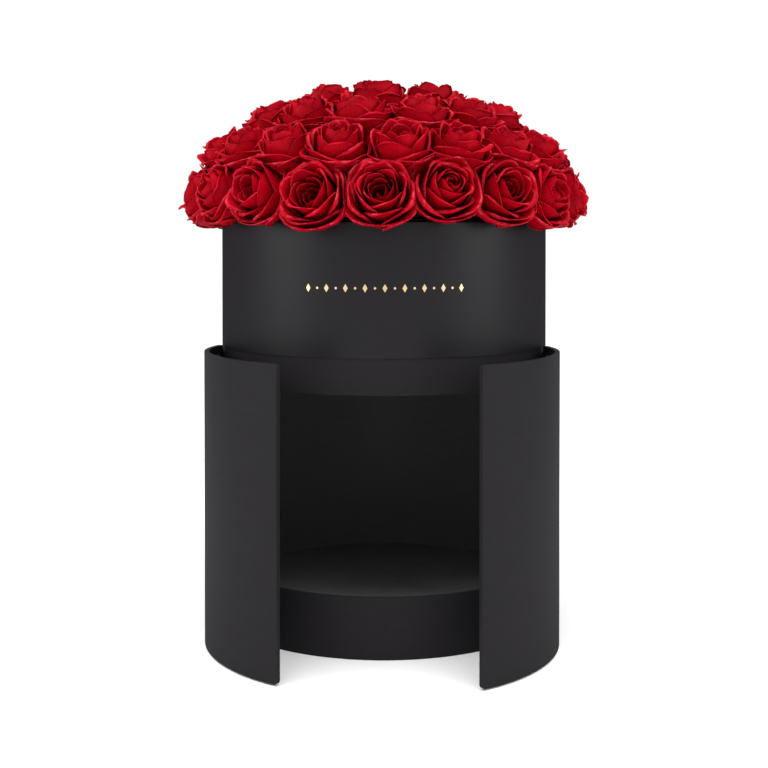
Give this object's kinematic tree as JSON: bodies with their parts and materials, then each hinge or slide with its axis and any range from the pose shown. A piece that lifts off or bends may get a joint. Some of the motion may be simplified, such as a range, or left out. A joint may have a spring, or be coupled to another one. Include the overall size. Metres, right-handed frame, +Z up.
{
  "type": "flower box",
  "caption": "Round two-tier paper-covered gift box: a drum of cut roses in floral foam above a cabinet with a front window and two curved hinged doors.",
  "frame": {"origin": "centre of the base, on the surface the box stands on", "axes": "+Z up along the tubes' axis, -Y towards the front with its window and doors, +X to the right seen from the front"},
  "size_m": [0.3179, 0.339, 0.413],
  "materials": {
    "greyboard": "matte",
    "black_paper": "matte",
    "lining_paper": "matte",
    "hinge_cloth": "matte",
    "magnet_steel": "satin",
    "gold_foil": "polished",
    "tub_plastic": "satin",
    "floral_foam": "matte",
    "rose_petals": "satin",
    "stem_green": "satin"
  },
  "bodies": {
    "cabinet": {"base_disc": "greyboard", "cabinet_tube": "greyboard", "cabinet_wrap": "black_paper", "cabinet_lining": "lining_paper", "floor_spacer_ring": "greyboard", "compartment_floor": "greyboard", "floor_paper": "lining_paper", "compartment_ceiling": "greyboard", "neck_collar": "greyboard", "magnet_keepers": "magnet_steel", "drum_floor": "greyboard", "drum_tube": "greyboard", "drum_wrap": "black_paper", "foil_ornament": "gold_foil", "back_panel_board": "greyboard", "back_panel_wrap": "black_paper", "back_spacer": "greyboard", "right_hinge_cloth_fixed": "hinge_cloth", "left_hinge_cloth_fixed": "hinge_cloth"},
    "left_door": {"left_door_board": "greyboard", "left_door_wrap": "black_paper", "left_door_lining": "lining_paper", "left_hinge_cloth_moving": "hinge_cloth", "left_door_magnets": "magnet_steel"},
    "right_door": {"right_door_board": "greyboard", "right_door_wrap": "black_paper", "right_door_lining": "lining_paper", "right_hinge_cloth_moving": "hinge_cloth", "right_door_magnets": "magnet_steel"},
    "flower_insert": {"liner_tub": "tub_plastic", "foam_base": "floral_foam", "foam_dome": "floral_foam", "rose_ring_1": "rose_petals", "rose_ring_2": "rose_petals", "rose_ring_3": "rose_petals", "rose_ring_4": "rose_petals", "crown_rose": "rose_petals", "rose_stems": "stem_green"}
  },
  "joints": [
    {"name": "left_door_hinge", "type": "hinge", "parent": "cabinet", "child": "left_door", "pos_m": [-0.12362, -0.03685, 0.1045], "axis": [0, 0, -1], "range_deg": [-29.8, 70.2]},
    {"name": "right_door_hinge", "type": "hinge", "parent": "cabinet", "child": "right_door", "pos_m": [0.12362, -0.03685, 0.1045], "axis": [0, 0, 1], "range_deg": [-32.8, 67.2]},
    {"name": "flower_insert_lift", "type": "slide", "parent": "cabinet", "child": "flower_insert", "axis": [0, 0, 1], "range_m": [0, 0.12]}
  ]
}
